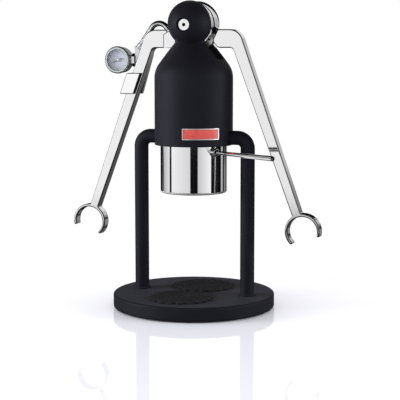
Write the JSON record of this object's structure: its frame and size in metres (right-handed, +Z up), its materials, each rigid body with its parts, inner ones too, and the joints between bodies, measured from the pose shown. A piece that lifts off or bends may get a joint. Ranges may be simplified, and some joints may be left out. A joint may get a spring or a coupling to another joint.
{
  "type": "manual lever espresso maker",
  "caption": "Free-standing lever espresso press: two hooked levers on one pivot drive a piston into a basket held under a bottle-shaped body on two legs, with a pressure gauge.",
  "frame": {"origin": "middle of the base's underside, where its rubber feet stand", "axes": "+Z up, front towards -Y, levers and legs in the XZ plane"},
  "size_m": [0.2678, 0.1652, 0.3107],
  "materials": {
    "black_powder_coat": "fine satin powder coat",
    "mat_rubber": "matt",
    "foot_rubber": "matt",
    "seal_rubber": "satin",
    "polished_steel": "mirror polished stainless steel",
    "gauge_steel": "polished stainless steel",
    "turned_steel": "turned",
    "screw_steel": "bright screws",
    "basket_steel": "pressed stainless sheet",
    "bearing_bronze": "plain bearing bronze",
    "movement_brass": "machined",
    "red_enamel": "gloss red enamel",
    "bright_rim": "bright",
    "gauge_window": "clear flat glass",
    "dial_white": "matt white",
    "needle_black": "matt black"
  },
  "bodies": {
    "stand": {"base_plate": "black_powder_coat", "base_feet": "foot_rubber", "drip_mat": "mat_rubber", "leg_left": "black_powder_coat", "leg_right": "black_powder_coat", "leg_collars": "polished_steel", "leg_screws": "screw_steel", "body_shell": "black_powder_coat", "locking_ring": "turned_steel", "rod_bush": "bearing_bronze", "pivot_bolt": "polished_steel", "pivot_nut": "polished_steel", "thrust_washers": "bearing_bronze", "rear_spacer": "polished_steel", "badge_frame": "bright_rim", "badge_plate": "red_enamel"},
    "left_lever_set": {"left_lever": "polished_steel", "left_hub_bush": "bearing_bronze", "left_crank_pin": "turned_steel", "gauge_clamp": "gauge_steel", "gauge_bracket": "gauge_steel", "clamp_screws": "screw_steel", "gauge_case": "gauge_steel", "gauge_bezel": "gauge_steel", "gauge_glass": "gauge_window", "gauge_dial": "dial_white", "gauge_movement": "movement_brass", "gauge_stem": "gauge_steel", "gauge_nut": "gauge_steel", "gauge_pipe": "gauge_steel", "pipe_nut": "gauge_steel", "pipe_port": "gauge_steel"},
    "needle_set": {"gauge_needle": "needle_black"},
    "right_lever_set": {"right_lever": "polished_steel", "right_hub_bush": "bearing_bronze", "right_crank_pin": "turned_steel"},
    "piston_set": {"yoke_plate": "turned_steel", "rod_pin": "turned_steel", "piston_rod": "turned_steel", "stop_collar": "turned_steel", "piston_head": "turned_steel", "piston_seals": "seal_rubber", "piston_screw": "screw_steel"},
    "portafilter_set": {"portafilter_cup": "polished_steel", "handle_boss": "polished_steel", "handle_rod": "polished_steel", "coffee_basket": "basket_steel", "shower_screen": "basket_steel"}
  },
  "joints": [
    {"name": "left_lever_hinge", "type": "hinge", "parent": "stand", "child": "left_lever_set", "pos_m": [0, 0, 0.2864], "axis": [0, 1, 0], "range_deg": [0, 95]},
    {"name": "right_lever_hinge", "type": "hinge", "parent": "stand", "child": "right_lever_set", "pos_m": [0, 0, 0.2864], "axis": [0, -1, 0], "range_deg": [0, 95.2]},
    {"name": "piston_slide", "type": "slide", "parent": "stand", "child": "piston_set", "axis": [0, 0, 1], "range_m": [0, 0.0237]},
    {"name": "portafilter_turn", "type": "hinge", "parent": "stand", "child": "portafilter_set", "pos_m": [0, 0, 0.168], "axis": [0, 0, 1], "range_deg": [-60, 0]},
    {"name": "gauge_needle_turn", "type": "hinge", "parent": "left_lever_set", "child": "needle_set", "pos_m": [-0.08438, 0.004, 0.2517], "axis": [0, 1, 0], "range_deg": [0, 270], "stiffness_Nm_per_rad": 0.0002}
  ],
  "couplings": [
    {"joint": "right_lever_hinge", "follows": "left_lever_hinge", "ratio": 1},
    {"joint": "piston_slide", "follows": "left_lever_hinge", "m_per_rad": 0.014229}
  ]
}
